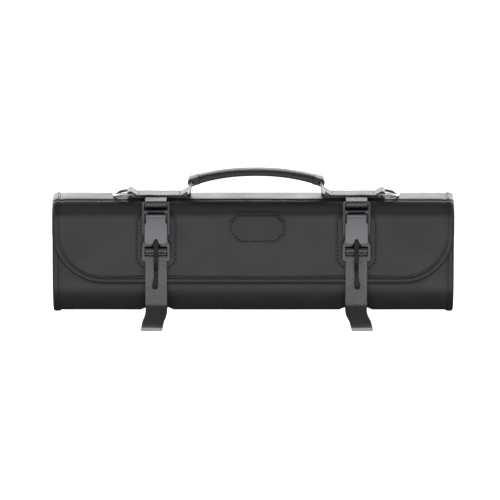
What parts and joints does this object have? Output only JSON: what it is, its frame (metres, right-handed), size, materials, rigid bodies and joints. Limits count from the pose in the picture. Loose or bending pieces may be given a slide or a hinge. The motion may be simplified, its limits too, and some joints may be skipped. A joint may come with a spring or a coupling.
{
  "type": "chef knife roll",
  "caption": "Padded leather knife roll, rolled up and held by webbing straps with side-release magnetic buckles, with a carrying handle and D-rings.",
  "frame": {"origin": "middle of the footprint on the surface it lies on, with the strap tails and the handle in the footprint", "axes": "+X along the roll, +Y towards the carrying handle, +Z out of the front face with the buckles"},
  "size_m": [0.46, 0.2006, 0.0804],
  "materials": {
    "leather": "smooth black, fine grain, low sheen",
    "leather_trim": "smooth black, stitched",
    "lining": "dark grey woven nylon",
    "webbing": "black twill webbing",
    "buckle_plastic": "moulded grey, satin",
    "ring_metal": "polished gunmetal plate"
  },
  "bodies": {
    "roll": {"buckle_frame_left": "buckle_plastic", "buckle_frame_right": "buckle_plastic", "buckle_pad_left": "leather_trim", "buckle_pad_right": "leather_trim", "buckle_tongue_left": "buckle_plastic", "buckle_tongue_right": "buckle_plastic", "edge_binding": "leather_trim", "girth_strap_left": "webbing", "girth_strap_right": "webbing", "handle_band_left": "leather_trim", "handle_band_right": "leather_trim", "handle_chape_left": "leather_trim", "handle_chape_right": "leather_trim", "handle_grip": "leather_trim", "handle_ring_left": "ring_metal", "handle_ring_right": "ring_metal", "inner_flap": "lining", "label_patch": "leather_trim", "pull_tab_left": "leather_trim", "pull_tab_right": "leather_trim", "roll_shell": "leather", "upper_strap_left": "webbing", "upper_strap_right": "webbing"},
    "d_ring_left": {"d_ring_left": "ring_metal"},
    "d_ring_right": {"d_ring_right": "ring_metal"}
  },
  "joints": [
    {"name": "d_ring_swing_left", "type": "hinge", "parent": "roll", "child": "d_ring_left", "pos_m": [-0.1406, 0.0732, 0.0405], "axis": [0, 0, -1], "range_deg": [0, 165]},
    {"name": "d_ring_swing_right", "type": "hinge", "parent": "roll", "child": "d_ring_right", "pos_m": [0.1474, 0.0732, 0.0405], "axis": [0, 0, 1], "range_deg": [0, 165]}
  ]
}
